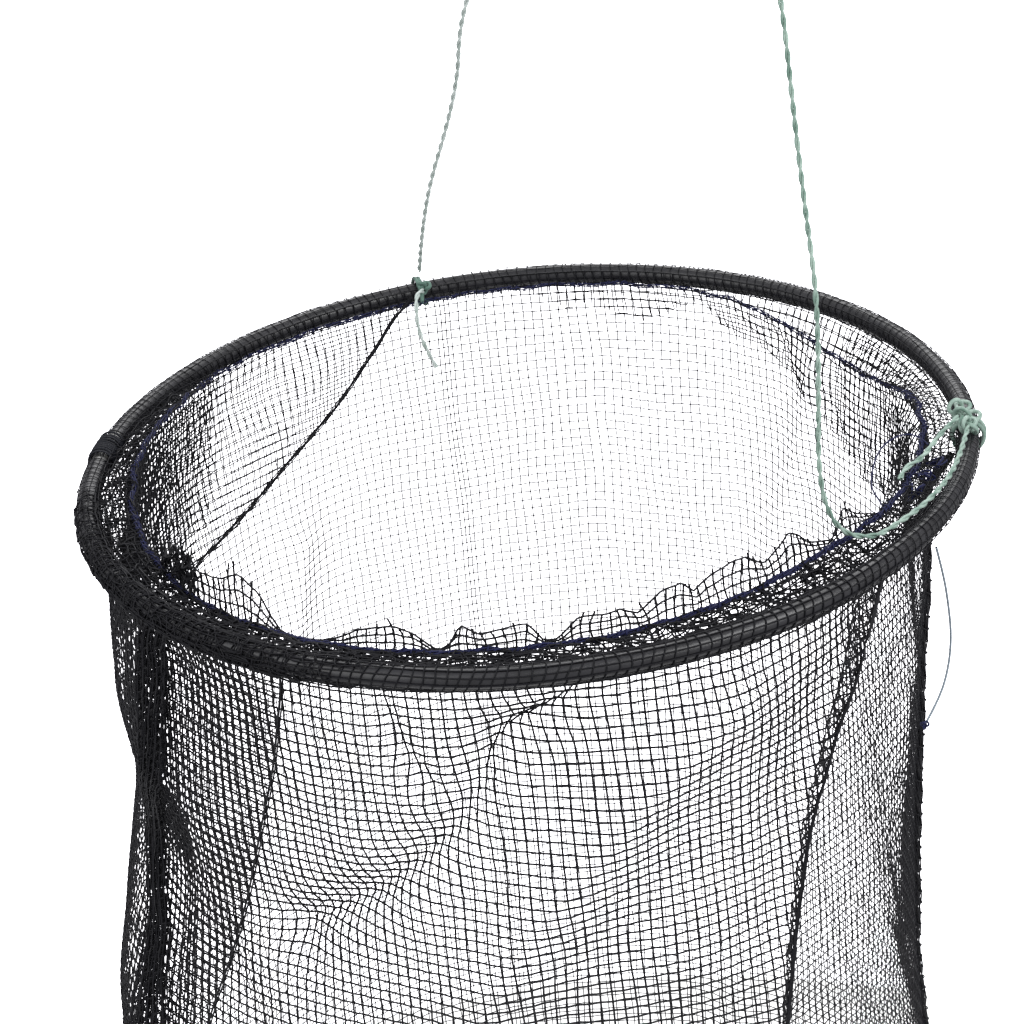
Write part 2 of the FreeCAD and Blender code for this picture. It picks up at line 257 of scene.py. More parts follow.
def single(points, radius, sides=8, closed=False):
    """One round thread or cord along a line of points, turned as little as possible."""
    points = np.asarray(points, dtype=float)
    if closed:
        along = unit(np.roll(points, -1, axis=0) - np.roll(points, 1, axis=0))
    else:
        along = unit(np.gradient(points, axis=0))
    normals = carried_normals(along)
    return tubes(points[None], normals[None], radius, sides, closed=closed)


def carried_normals(along):
    """Normals that follow a line without twisting."""
    first = np.array([0.0, 0.0, 1.0])
    if abs(along[0] @ first) > 0.9:
        first = np.array([1.0, 0.0, 0.0])
    normals = np.zeros_like(along)
    current = first
    for number, way in enumerate(along):
        current = current - way * (current @ way)
        current = current / np.linalg.norm(current)
        normals[number] = current
    return normals


def twisted(points, radius, pitch, strands=2, sides=7, step=0.9):
    """Strands laid round each other along a line."""
    points = respaced(points, step)
    along = unit(np.gradient(points, axis=0))
    normals = carried_normals(along)
    side = np.cross(along, normals)
    travelled = np.arange(len(points)) * step
    parts = []
    for number in range(strands):
        angle = 2 * math.pi * (travelled / pitch + number / strands)
        out = np.cos(angle)[:, None] * normals + np.sin(angle)[:, None] * side
        line = points + out * radius * 0.52
        parts.append(tubes(line[None], out[None], radius * 0.54, sides))
    return parts


def respaced(points, step):
    """The same line with points a step apart."""
    points = np.asarray(points, dtype=float)
    lengths = np.linalg.norm(np.diff(points, axis=0), axis=1)
    travelled = np.concatenate([[0], np.cumsum(lengths)])
    count = max(4, round(travelled[-1] / step) + 1)
    wanted = np.linspace(0, travelled[-1], count)
    return np.stack([np.interp(wanted, travelled, points[:, axis]) for axis in range(3)], axis=-1)


def route(points):
    """The smooth line of a cord: a NURBS curve with these points as its control points."""
    curve = bpy.data.curves.new("route", "CURVE")
    curve.dimensions = "3D"
    curve.resolution_u = 16
    spline = curve.splines.new("NURBS")
    spline.points.add(len(points) - 1)
    for place, point in zip(spline.points, points):
        place.co = (*point, 1)
    spline.order_u = 3
    spline.use_endpoint_u = True
    holder = add_object("route", curve)
    mesh = bpy.data.meshes.new_from_object(holder)
    line = np.array([vertex.co for vertex in mesh.vertices])
    bpy.data.meshes.remove(mesh)
    bpy.data.objects.remove(holder)
    bpy.data.curves.remove(curve)
    return line


# ---------------------------------------------------------------- materials

def new_material(name):
    material = bpy.data.materials.new(name)
    material.use_nodes = True
    nodes = material.node_tree.nodes
    return material, nodes, material.node_tree.links, nodes["Principled BSDF"]


def set_sockets(node, **values):
    """Sets a node's sockets; an underscore stands for a space in their names."""
    for socket, value in values.items():
        node.inputs[socket.replace("_", " ")].default_value = value
    return node


def add_node(nodes, kind, **values):
    return set_sockets(nodes.new("ShaderNode" + kind), **values)


def noise(nodes, links, scale, detail=4.0):
    """Noise in the row's own coordinates, in which scale counts features per metre."""
    place = nodes.new("ShaderNodeTexCoord")
    texture = add_node(nodes, "TexNoise", Scale=scale, Detail=detail)
    links.new(place.outputs["Object"], texture.inputs["Vector"])
    return texture.outputs["Fac"]


def vary_roughness(nodes, links, shader, source, low, high):
    spread = add_node(nodes, "MapRange", To_Min=low, To_Max=high)
    links.new(source, spread.inputs["Value"])
    links.new(spread.outputs["Result"], shader.inputs["Roughness"])


def add_bump(nodes, links, shader, source, strength, depth):
    bump = add_node(nodes, "Bump", Strength=strength, Distance=depth)
    links.new(source, bump.inputs["Height"])
    links.new(bump.outputs["Normal"], shader.inputs["Normal"])


def yarn(name, colour, rough, sheen=0.0):
    """Spun or drawn thread: one colour, with fibre-fine bump and uneven gloss."""
    material, nodes, links, shader = new_material(name)
    set_sockets(shader, Base_Color=(*colour, 1), Sheen_Weight=sheen, Specular_IOR_Level=0.25)
    fibres = noise(nodes, links, 2600)
    vary_roughness(nodes, links, shader, fibres, rough - 0.1, rough + 0.15)
    add_bump(nodes, links, shader, fibres, 0.35, 0.00012)
    return material


def two_tone(name, dark, light, scale, rough, sheen=0.0):
    """A colour that varies between two tones along the piece, with fibre bump."""
    material, nodes, links, shader = new_material(name)
    ramp = nodes.new("ShaderNodeValToRGB")
    for stop, place, tone in zip(ramp.color_ramp.elements, (0.36, 0.64), (dark, light)):
        stop.position = place
        stop.color = (*tone, 1)
    links.new(noise(nodes, links, scale), ramp.inputs["Fac"])
    links.new(ramp.outputs["Color"], shader.inputs["Base Color"])
    set_sockets(shader, Sheen_Weight=sheen)
    fibres = noise(nodes, links, 3200, 6.0)
    vary_roughness(nodes, links, shader, fibres, rough - 0.1, rough + 0.12)
    add_bump(nodes, links, shader, fibres, 0.5, 0.00018)
    return material


def sheath_plastic():
    """Smooth dark extruded plastic with dull patches and faint drawing marks."""
    material = two_tone("sheath_plastic", (0.008, 0.008, 0.010), (0.020, 0.020, 0.024), 90, 0.34)
    shader = material.node_tree.nodes["Principled BSDF"]
    set_sockets(shader, Coat_Weight=0.25, Coat_Roughness=0.18)
    return material


def steel(name, colour, rough):
    material = two_tone(name, tuple(0.75 * part for part in colour), colour, 700, rough)
    material.node_tree.nodes["Principled BSDF"].inputs["Metallic"].default_value = 1.0
    return material


NET_BLACK = yarn("net_black", (0.009, 0.009, 0.012), 0.5)
NAVY = yarn("navy_thread", (0.009, 0.012, 0.062), 0.6, 0.1)
WINDING = yarn("dark_winding", (0.006, 0.007, 0.012), 0.5)
PALE_THREAD = yarn("pale_thread", (0.24, 0.29, 0.33), 0.5, 0.2)
SHEATH = sheath_plastic()
WIRE_STEEL = steel("spring_steel", (0.42, 0.43, 0.44), 0.36)
CRIMP_STEEL = steel("crimp_steel", (0.34, 0.34, 0.33), 0.42)
CORD_GREEN = two_tone("cord_green", (0.16, 0.27, 0.215), (0.40, 0.53, 0.46), 240, 0.5, 0.25)
# A paler copy of the cord colour, for the left cord and its tail: painted light, which makes that
# cord look washed by the bright backdrop.
CORD_PAINTED_LIGHT = two_tone("cord_painted_light", (0.40, 0.48, 0.44), (0.63, 0.70, 0.67), 240, 0.5, 0.25)
# A darker copy of the cord colour, for the left knot: painted shade.
CORD_PAINTED_SHADE = two_tone("cord_painted_shade", (0.05, 0.11, 0.085), (0.13, 0.24, 0.19), 240, 0.6, 0.2)


# ---------------------------------------------------------------- camera, made first

CAMERA_DISTANCE = 1000
CAMERA_RISE = 26.5
CAMERA_ROLL = 5.85
FOCAL = 102.7
SENSOR = 36.0
# Where the hoop's centre stands in the frame, as shares of the frame's width from its middle.
AIM_RIGHT = 0.0128
AIM_UP = 0.0606


def make_camera():
    """The camera looks down at the mouth, and carries the lean of the hanging trap."""
    rise = math.radians(CAMERA_RISE)
    roll = math.radians(CAMERA_ROLL)
    forward = Vector((0, math.cos(rise), -math.sin(rise)))
    up = Vector((0, math.sin(rise), math.cos(rise)))
    right = Vector((1, 0, 0))
    rolled = Matrix.Rotation(roll, 3, "Z") @ Matrix((right, up, forward))
    aim = Vector((AIM_RIGHT * SENSOR / FOCAL, AIM_UP * SENSOR / FOCAL, 1)).normalized()
    aimed = Vector((0, 0, 1)).rotation_difference(aim).to_matrix() @ rolled
    data = bpy.data.cameras.new("camera")
    data.lens = FOCAL
    data.sensor_width = SENSOR
    data.clip_start = 0.05
    camera = add_object("camera", data)
    turn = Matrix((aimed[0], aimed[1], -aimed[2])).transposed()
    place = Vector(CENTRE / 1000) - forward * (CAMERA_DISTANCE / 1000)
    camera.matrix_world = Matrix.Translation(place) @ turn.to_4x4()
    bpy.context.scene.camera = camera


make_camera()


# ---------------------------------------------------------------- cords

APEX = (65, -30, 290)
LEFT_CORD = ring_points((TIE_LEFT, 149, 9)) + [
    (-30.7, 129.8, 30), (-24.8, 116.2, 56), (-16.7, 103.6, 80), (-10.2, 91, 104),
    (-8.1, 80.5, 124), (-2, 70, 144), (4.5, 59.6, 164), (13, 42.5, 186), (26, 21, 214),
    (44, -5, 250), APEX,
]
RIGHT_CORD = ring_points(
    (TIE_RIGHT - 0.8, 150.3, 6.6), (-20.8, 150, 5.9), (-31.5, 148, 5.9), (-38.4, 144.6, 5.4),
    (-42.1, 142.8, 4.9), (-45.8, 138.1, 8.7),
) + [
    (90.8, -100.8, 18), (88.9, -98.2, 32), (90.7, -93.5, 54), (92.6, -86.5, 84), (91, -78.5, 112),
    (89.7, -71.5, 142), (88.9, -64.5, 172), (84, -55, 206), (76, -44, 248), APEX,
]
LEFT_TAIL = ring_points(
    (TIE_LEFT + 0.2, 143.5, 2.8), (TIE_LEFT + 1.6, 138.5, 4.6), (TIE_LEFT + 2.6, 133, 2),
    (TIE_LEFT + 3, 130.5, -6), (TIE_LEFT + 2.2, 129.8, -15), (TIE_LEFT + 0.6, 130.5, -24),
)
RIGHT_TAIL = ring_points(
    (TIE_RIGHT - 1.4, 146.7, 9), (TIE_RIGHT - 5, 142.3, 8.6), (TIE_RIGHT - 7.3, 139.9, 7.4),
    (TIE_RIGHT - 11.8, 137.3, 6.2), (TIE_RIGHT - 13.5, 132.4, 4.9),
    (TIE_RIGHT - 16.1, 132.5, 3.6),
)
LOOSE_THREAD = ring_points(
    (-34.6, 153.4, -5.6), (-33.3, 154, -17), (-32.1, 154, -29.5), (-31.2, 153.8, -43),
    (-32, 153.4, -54), (-34.6, 153, -62), (-38.6, 153, -66),
)
HANG_LOOP = [
    (63.5, -30, 294), (55.5, -30, 298.5), (47, -29.4, 306.5), (46.2, -29.6, 317.5),
    (55.5, -30, 325.9), (74.5, -30, 325.9), (84, -30.4, 317.5), (83.5, -30.6, 307),
    (75, -30, 298.7), (66.5, -30, 294),
]


def fold_up(piece):
    """Gives a piece of the wall, or of what is sewn to it, a mesh of its own."""
    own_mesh(piece)


def cord_piece(name, points, stands_for, material=CORD_GREEN):
    """A two-strand cord along its route."""
    line = route(points)
    parts = twisted(line, CORD_DIAMETER / 2, CORD_LAY)
    return mesh_piece(name, parts, material, "top_hoop", stands_for), line


def cord_knot(name, parts, stands_for, material=CORD_GREEN):
    return mesh_piece(name, parts, material, "top_hoop", stands_for)


def overhand(place, size, out, radius):
    """The turns of an overhand knot: a closed line that crosses itself three times."""
    angle = np.linspace(0, 2 * math.pi, 64, endpoint=False)
    across = np.sin(angle) + 2 * np.sin(2 * angle)
    height = np.cos(angle) - 2 * np.cos(2 * angle)
    depth = -1.25 * np.sin(3 * angle)
    out = np.array(Vector(out).normalized())
    side = unit(np.cross(out, [0.13, 0.2, 1.0]))
    up = np.cross(side, out)
    turns = np.outer(across, side) + np.outer(height, up) + np.outer(depth, out)
    line = np.array(place) + size * turns
    return single(line, radius, closed=True)


def hem_turn(angle, reach, spread, radius):
    """A cord's turn round the rolled hem, a little skewed."""
    around = np.linspace(math.radians(-160), math.radians(215), 40)
    out = HOOP + reach * np.cos(around)
    rise = reach * np.sin(around)
    return single(ring_point(angle + np.linspace(-spread, spread, 40), out, rise), radius)


def make_cords():
    # The left cord and its tail take the paler copy of the cord colour, which is painted light.
    left, left_line = cord_piece("left_cord_strands", LEFT_CORD, ["left_cord"], CORD_PAINTED_LIGHT)
    right, right_line = cord_piece("right_cord_strands", RIGHT_CORD, ["right_cord"])
    loop, _ = cord_piece("hang_loop_strands", HANG_LOOP, ["hang_loop"])
    left_tail, left_tail_line = cord_piece(
        "left_tail_strands", LEFT_TAIL, ["left_cord_tail"], CORD_PAINTED_LIGHT
    )
    right_tail, right_tail_line = cord_piece("right_tail_strands", RIGHT_TAIL, ["right_cord_tail"])
    reach = ROLL + CORD_DIAMETER / 2 + 0.4
    strand = CORD_DIAMETER / 2 * 0.82
    turns = [
        hem_turn(TIE_LEFT, reach, 0.4, strand),
        hem_turn(TIE_LEFT + 0.7, reach + 0.2, -0.3, strand),
        overhand(ring_point(TIE_LEFT - 0.2, 146, 3.2), 0.8, (0.2, -1, 0.3), strand),
    ]
    # The left knot takes the darker copy of the cord colour, which is painted shade.
    left_knot = cord_knot("left_knot_turns", turns, ["left_cord_knot"], CORD_PAINTED_SHADE)
    turns = [
        hem_turn(TIE_RIGHT, reach, 0.5, strand),
        hem_turn(TIE_RIGHT + 1.2, reach + 0.3, -0.5, strand),
        overhand(ring_point(TIE_RIGHT, 149.5, 6.2), 1.6, (-0.1, -0.8, 0.6), strand),
        overhand(ring_point(TIE_RIGHT + 1.8, 147.5, 8), 1.35, (0.5, -0.6, 0.6), strand),
        overhand(ring_point(TIE_RIGHT - 1.6, 150.5, 6.4), 1.15, (0.7, -0.2, 0.7), strand),
    ]
    right_knot = cord_knot("right_knot_turns", turns, ["right_cord_knot"])
    turns = [
        overhand(np.array(APEX) + (0, 0, 1), 1.3, (0.3, -1, 0.2), strand),
        overhand(np.array(APEX) + (0.4, 0.3, -1.5), 1.2, (1, 0.4, 0.3), strand),
    ]
    apex_knot = cord_knot("apex_knot_turns", turns, ["apex_knot"])


def make_loose_thread():
    line = route(LOOSE_THREAD)
    thread = mesh_piece(
        "loose_thread_strand",
        [single(respaced(line, 0.8), 0.42, 6)],
        PALE_THREAD,
        "top_hoop",
        ["loose_thread"],
    )
    turns = [overhand(line[-1], 0.45, (0.2, -1, 0.3), 0.35)]
    knot = stitching("loose_thread_knot_turns", turns, ["loose_thread_knot"])
    fold_up(thread)
    fold_up(knot)


make_cords()
make_loose_thread()


# ---------------------------------------------------------------- the walls' shape

def across_at(depth, points, step=0):
    """The angle or reach at a height of a line of (angle or reach, height) points.

    A step evens it over two steps up and two down."""
    across, heights = np.array(points, dtype=float)[::-1].T
    shifts = [step * number for number in (-2, -1, 0, 1, 2)] if step else [0]
    return sum(np.interp(depth + shift, heights, across) for shift in shifts) / len(shifts)


def off_line(angle, depth, points):
    """Distance in millimetres to a line drawn on the wall, and how far right of it a point is."""
    across = np.radians(angle) * HOOP
    nearest = np.full(np.broadcast(angle, depth).shape, 1e9)
    for (angle_a, depth_a), (angle_b, depth_b) in zip(points, points[1:]):
        start = np.array([math.radians(angle_a) * HOOP, depth_a])
        way = np.array([math.radians(angle_b) * HOOP, depth_b]) - start
        share = ((across - start[0]) * way[0] + (depth - start[1]) * way[1]) / (way @ way)
        share = np.clip(share, 0, 1)
        gap = np.hypot(across - start[0] - share * way[0], depth - start[1] - share * way[1])
        nearest = np.minimum(nearest, gap)
    side = across - np.radians(across_at(depth, points)) * HOOP
    return nearest, side


# Folds in the wall, drawn as (angle, height) lines, with their depth and width in mm and with how
# much they gather the threads towards themselves.
MAIN_FOLD = [
    (273, -5), (269.6, -13.5), (266.2, -18.3), (263.7, -22.8), (260.7, -39.8), (257.1, -56.4),
    (252.2, -70.3), (245, -86.2), (233.9, -105.3),
]
FOLDS = [
    (MAIN_FOLD, -8.0, 9.0, 0.35),
    ([(273.4, -4), (269.6, -13.5), (266.2, -18.3), (263.7, -22.8), (262, -30)], -1.5, 3.0, 0.62),
    ([(250.6, -4), (251, -17.5), (251.7, -24.5), (254.7, -40.2)], -3.0, 4.2, 0.5),
    ([(290, -26), (278, -50), (264, -92), (257, -130), (252, -170)], 8.0, 15.0, 0.0),
    ([(38, -20), (44, -64), (52, -118), (56, -160)], -3.0, 8.0, 0.1),
    ([(75, -20), (80, -90), (78, -170)], 3.0, 14.0, 0.0),
    ([(128, -90), (133, -140), (131, -200)], -5.0, 9.0, 0.2),
    ([(299, -165), (291, -190), (294, -235)], -4.0, 8.0, 0.2),
    ([(268, -150), (276, -190), (272, -225)], -6.0, 9.0, 0.3),
    ([(238, -190), (246, -250), (240, -330)], -5.0, 10.0, 0.3),
    ([(62, -230), (58, -300), (64, -360)], -4.0, 12.0, 0.1),
    ([(160, -210), (152, -280), (156, -350)], -5.0, 11.0, 0.2),
]
SIDE_FOLD = [
    (320, -6), (318, -15), (315.7, -22.6), (313.1, -26.6), (310.1, -37.4), (307.1, -48.3),
    (304.8, -60.2), (302.6, -72.4), (301, -85.5), (299.8, -99.3), (297.7, -124), (295.7, -149),
    (294.5, -190), (295, -260), (296, -400),
]
LAP_EDGE = [
    (238, -4), (237, -12), (236, -29), (233.5, -45), (231.4, -64), (229.2, -78), (225.2, -105),
    (222.6, -124), (220.3, -137), (218.2, -153), (215, -190), (213, -245), (213, -400),
]
LAP_FOLD = [
    (214, -4), (212.7, -15), (211.5, -38), (210.4, -64), (206, -85), (203.6, -103), (205, -115),
    (207, -126), (208, -147), (208.6, -165), (207, -245), (205, -400),
]
# How far the wall stands out from the hoop at the left and at the right: (reach, height) in mm.
LEFT_REACH = [
    (0, 0), (-5, -10), (-3.5, -25), (-1.5, -40), (0, -55), (1.5, -70), (-0.5, -84), (-1.5, -97),
    (1, -112), (5.5, -128), (11, -145), (16, -163), (20, -180), (21.5, -215), (17, -270),
    (6, -340), (0, -400),
]
RIGHT_REACH = [
    (-2, 0), (-12, -10), (-14.5, -22), (-16, -55), (-18, -100), (-20, -145), (-23.5, -200),
    (-23, -240), (-8, -340), (0, -400),
]


def wall_radius(angle, depth):
    """Distance of the wall from the trap's axis; depth is negative below the hoop."""
    angle = np.mod(angle, 360)
    ends = smooth(-3, -22, depth) * smooth(-WALL + 2, -WALL + 60, depth)
    reach = HOOP - 0.6 + across_at(depth, RIGHT_REACH, 3) * np.sqrt(hill(angle, 355, 62))
    reach = reach + across_at(depth, LEFT_REACH, 3) * hill(angle, 198, 60)
    for points, height, width, _ in FOLDS:
        gap, _ = off_line(angle, depth, points)
        reach = reach + height * np.exp(-((gap / width) ** 1.6)) * ends
    _, side = off_line(angle, depth, SIDE_FOLD)
    front = smooth(215, 245, angle)
    behind = smooth(0, 4, side) * smooth(115, 20, side) * front
    reach = reach - 7 * behind * ends
    reach = reach + 3.5 * np.exp(-((side / 9) ** 2)) * front * ends
    reach = reach + 1.9 * ripple(angle, depth, 4, (3, 11), (110, 260)) * ends
    reach = reach + 0.5 * ripple(angle, depth, 5, (12, 34), (40, 120)) * ends
    return reach


def gathered(angle, depth):
    """Angles after the folds have drawn the threads towards themselves."""
    moved = angle
    turned = np.mod(angle, 360)
    for points, _, width, pull in FOLDS:
        if pull:
            gap, side = off_line(turned, depth, points)
            share = pull * side * np.exp(-((gap / width) ** 2)) * (np.abs(side) < 4 * width)
            moved = moved - np.degrees(share / HOOP)
    return moved


def wall_points(angle, depth, seed):
    """Points of the wall on a grid, with the small drift of real mesh threads."""
    sway = 0.42 * ripple(angle, depth, seed, (8, 26), (40, 120)) + 0.09 * ripple(
        angle, depth, seed + 1, (60, 120), (9, 30)
    )
    dip = 0.42 * ripple(angle, depth, seed + 2, (6, 22), (40, 140))
    ends = smooth(-1, -10, depth) * smooth(-WALL, -WALL + 10, depth)
    turned = gathered(angle, depth) + np.degrees(sway * ends / HOOP)
    return ring_point(turned, wall_radius(turned, depth), depth + dip * ends)


WALL_SEED = 21
SEAM_AT = -12
FRONT_START = 212
PANELS = {"front": (FRONT_START, 348), "right": (-12, 100), "left": (100, 213.5)}
WALL_TOP = -3.7
WALL_FOOT = -WALL + 3.5
WALL_ROWS = round((WALL_TOP - WALL_FOOT) / PITCH) + 1


def wall_depths(columns):
    return np.zeros((columns, 1)) + np.linspace(WALL_TOP, WALL_FOOT, WALL_ROWS)[None, :]


def declare_wall(piece):
    fold_up(piece)


def fold_threads():
    """Threads drawn together along the side fold, which make its dark line."""
    depth = np.linspace(-6, -WALL + 8, 300)
    fold = across_at(depth, SIDE_FOLD, 5)
    parts = []
    for number in range(6):
        drift = 0.16 * ripple(depth * 0, depth, 40 + number, (1, 2), (20, 90))
        angle = fold + np.degrees((-1.1 + 0.42 * number + drift) / HOOP)
        parts.append(single(ring_point(angle, wall_radius(angle, depth) + 0.3, depth), 0.28, 4))
    return parts


def make_walls():
    for side, (first, last) in PANELS.items():
        columns = round((last - first) / STEP) + 1
        depth = wall_depths(columns)
        angle = first + np.arange(columns)[:, None] * STEP + 0 * depth
        threads = thread_at(angle)
        parts = []
        if side == "front":
            _, past = off_line(angle, depth, SIDE_FOLD)
            threads = threads - np.maximum(threads - 0.25, 0) * smooth(1, 7, past)
            parts = fold_threads()
        piece = netting(
            "wall_net_" + side,
            woven(wall_points(angle, depth, WALL_SEED), radius=threads) + parts,
            ["wall_net"] if side == "front" else [],
        )
        declare_wall(piece)


def make_lap():
    """The doubled layer where the wall's ends lap, with its gathered folds."""
    columns = 28
    depth = wall_depths(columns)
    edge = across_at(depth, LAP_EDGE, 6)
    angle = FRONT_START + (np.arange(columns)[:, None] - 8.7) * STEP + 0 * depth
    keep = (angle < edge) & (angle > edge - 34) & (angle > 199.5)
    slack = 0.5 * ripple(angle, depth, 63, (30, 70), (20, 60))
    angle = angle + np.degrees(slack / HOOP)
    grid = wall_points(angle, depth - 1.1, WALL_SEED)
    grid = grid + (1.5 + 0.5 * slack)[:, :, None] * unit(grid * (1, 1, 0))
    line = np.linspace(WALL_TOP, WALL_FOOT, 300)
    turned = across_at(line, LAP_EDGE, 6)
    border = []
    for inward, lift in ((0, 1.4), (0.5, 1.9), (1.1, 1.4)):
        place = turned - np.degrees(inward / HOOP)
        points = ring_point(place, wall_radius(place, line) + lift, line)
        border.append(single(points, 0.3, 4))
    parts = woven(grid, keep=keep, radius=0.33) + border
    lap = netting("net_overlap_mesh", parts, ["net_overlap"])
    declare_wall(lap)

    pleats = 26
    across = np.arange(pleats)[:, None] / (pleats - 1)
    depth = wall_depths(pleats)
    middle = across_at(depth, LAP_FOLD)
    wide = 5.8 + 1.4 * ripple(depth * 0, depth, 64, (1, 2), (60, 200), 5)
    angle = middle + (across - 0.5) * wide + 0.35 * ripple(
        middle + across * 40, depth, 65, (5, 14), (25, 90)
    )
    folded = 2.6 + 1.5 * np.sin(across * 2 * math.pi * 4.5 + depth / 31)
    folded = folded * smooth(WALL_TOP, WALL_TOP - 12, depth)
    folded = folded * smooth(WALL_FOOT, WALL_FOOT + 12, depth)
    grid = ring_point(angle, wall_radius(angle, depth) + 1.2 + folded, depth)
    pleated = netting("lap_fold_mesh", woven(grid), ["lap_fold"])
    declare_wall(pleated)


def make_side_seam():
    """Two turned edges of the wall, rolled and over-stitched into a cord-like ridge."""
    depth = np.linspace(WALL_TOP, WALL_FOOT, 330)
    parts = []
    for strand in range(9):
        turn = 2 * math.pi * (strand / 9 + depth / 46)
        reach = 1.0 + 0.8 * (strand % 3) / 2
        angle = SEAM_AT + np.degrees((0.9 + reach * np.cos(turn) * 1.6) / HOOP)
        out = wall_radius(angle, depth) + 0.8 + reach * np.sin(turn) * 0.7
        parts.append(single(ring_point(angle, out, depth), THREAD, 4))
    laces = np.linspace(WALL_TOP, WALL_FOOT, 2400)
    turn = laces / 2.4 * math.pi
    angle = SEAM_AT + np.degrees((0.9 + 2.5 * np.cos(turn)) / HOOP)
    out = wall_radius(angle, laces) + 0.8 + 1.5 * np.sin(turn)
    parts.append(single(ring_point(angle, out, laces), THREAD * 0.85, 4))
    fold_up(netting("side_seam_rolled", parts, ["side_seam"]))


FLAP_LINE = [
    (105, 5), (106.5, -2), (109, -8), (111.8, -17.4), (116.7, -30.4), (122.1, -40.5),
    (126.9, -46.7), (135.7, -59), (140.7, -64), (149, -69.5), (160, -75), (172, -79),
]


def make_flap():
    """The three-cornered inner layer, which ends in a rolled edge that runs down to the left."""
    first, last = 104, 176
    rows = 25
    columns = round((last - first) / STEP) + 1
    angle = first + np.arange(columns)[:, None] * STEP + np.zeros((1, rows))
    places, heights = np.array(FLAP_LINE).T
    limit = np.interp(angle, places, heights)
    depth = -3.6 - np.arange(rows)[None, :] * PITCH + np.zeros((columns, 1))
    keep = depth > limit - 1.5
    turned = angle + 0.8 * ripple(angle, depth, 71, (8, 20), (40, 100))
    bow = 3.0 + 2.2 * smooth(104, 135, angle) + 1.2 * ripple(angle, depth, 72, (6, 22), (40, 110))
    grid = ring_point(turned, wall_radius(turned, depth) - bow, depth)
    parts = woven(grid, keep=keep, radius=thread_at(angle))
    flap = netting("inner_flap_mesh", parts, ["inner_flap"])
    fold_up(flap)

    line = np.linspace(105, 172, 153)
    low = np.interp(line, places, heights)
    low = np.convolve(np.pad(low, 12, mode="edge"), np.ones(25) / 25, mode="valid")
    out = wall_radius(line, low) - 5.2
    parts = []
    for strand in range(6):
        turn = 2 * math.pi * (strand / 6 + line / 19)
        reach = 0.3 + 0.5 * (strand % 2)
        points = ring_point(line, out + reach * np.cos(turn), low + reach * np.sin(turn))
        parts.append(single(points, THREAD * 0.75, 4))
    fold_up(netting("flap_edge_rolled", parts, ["flap_edge"]))


# ---------------------------------------------------------------- the hem

# The hem's seam round the hoop: angle, how far in from the hoop it stands, and its height. At the
# back it is drawn up close under the hoop.
SEAM_LINE = [
    (5, 15, -0.5), (11, 14.5, -5), (19, 14, -10.5), (27, 13, -13), (34, 12.5, -11),
    (42, 11.5, -8), (51, 9, -4), (59, 6.5, -2.6), (70, 5.2, -2.5), (138, 5, -2.5), (145, 8, -1),
    (150, 13, 1.5), (158, 15.8, 4), (170, 15.8, 4.5), (180, 15.8, 3), (195, 15.8, 1),
    (210, 15.8, -1.3), (217, 15.8, -2), (246, 15.8, -1), (257, 15.8, 0), (266, 15.8, 0.6),
    (280, 15.8, 1), (285.5, 15.8, 1.8), (298, 15.8, 2.7), (304, 15.8, 4), (310.5, 15.8, 4.9),
    (317.5, 15.8, 4.1), (330, 15.8, 2.5), (345, 15.8, 1.5), (357, 15.5, 2.5),
]


def seam_reading(angle, column):
    places = np.array(SEAM_LINE).T
    turned = np.mod(angle, 360)
    return sum(
        np.interp(turned + shift, places[0], places[column], period=360)
        for shift in (-4, -2, 0, 2, 4)
    ) / 5


def seam_reach(angle):
    """Distance of the hem's seam from the trap's axis."""
    return HOOP - seam_reading(angle, 1)


def seam_rise(angle):
    """Height of the hem's seam."""
    return seam_reading(angle, 2)


def hoop_grid(fine=2, around=20):
    """Angles round the hoop and turns round its section, for mesh wrapped on it."""
    angle = np.arange(COLUMNS * fine)[:, None] * STEP / fine
    return fine, angle, 2 * math.pi * np.arange(around + 1)[None, :] / around


def make_roll():
    """Mesh pulled tight round the hoop, which shows the sheath between its threads."""
    fine, angle, turn = hoop_grid()
    swell = 0.12 * ripple(angle, turn * 8, 81, (20, 60), (20, 60))
    slant = 0.5 * STEP * np.sin(turn) + 0.35 * ripple(angle, turn * 6, 82, (14, 40), (15, 50))
    section = turn + 0.22 * ripple(angle, turn * 0, 83, (5, 17), (50, 90))
    reach = ROLL + swell
    grid = ring_point(angle + slant * 0.8, HOOP + reach * np.cos(section), reach * np.sin(section))
    threads = np.maximum(thread_at(angle + 0 * turn) - 0.09, 0.14)
    parts = woven(grid, fine=fine, closed=True, lift=0.06, radius=threads)
    for seed, start, end in ((84, 182, 246), (88, 194, 238)):
        crumple = ripple(angle, turn * 6, seed, (50, 130), (6, 20))
        skew = ripple(angle, turn * 6, seed + 1, (40, 110), (8, 24))
        keep = (angle > start + 4 * skew) & (angle < end + 4 * skew)
        reach = ROLL + 0.55 + 0.3 * crumple
        section = turn + 0.16 * skew + seed
        turned = angle + STEP * (0.5 + 0.6 * crumple)
        grid = ring_point(turned, HOOP + reach * np.cos(section), reach * np.sin(section))
        parts.extend(woven(grid, fine=fine, closed=True, keep=keep, lift=0.1, radius=0.29))
    netting("hem_roll_mesh", parts, ["hem_roll"])


# Each layer of the hem's band: where it leaves the roll, its shear, its crumple, its seed, and the
# middle and half width of the part of the hoop that it covers, in degrees.
BAND_LAYERS = [
    (2.6, 0.0, 1.0, 91, 270, 181),
    (-2.4, 1.3, 1.2, 94, 262, 128),
    (0.4, -2.1, 1.7, 97, 238, 98),
]


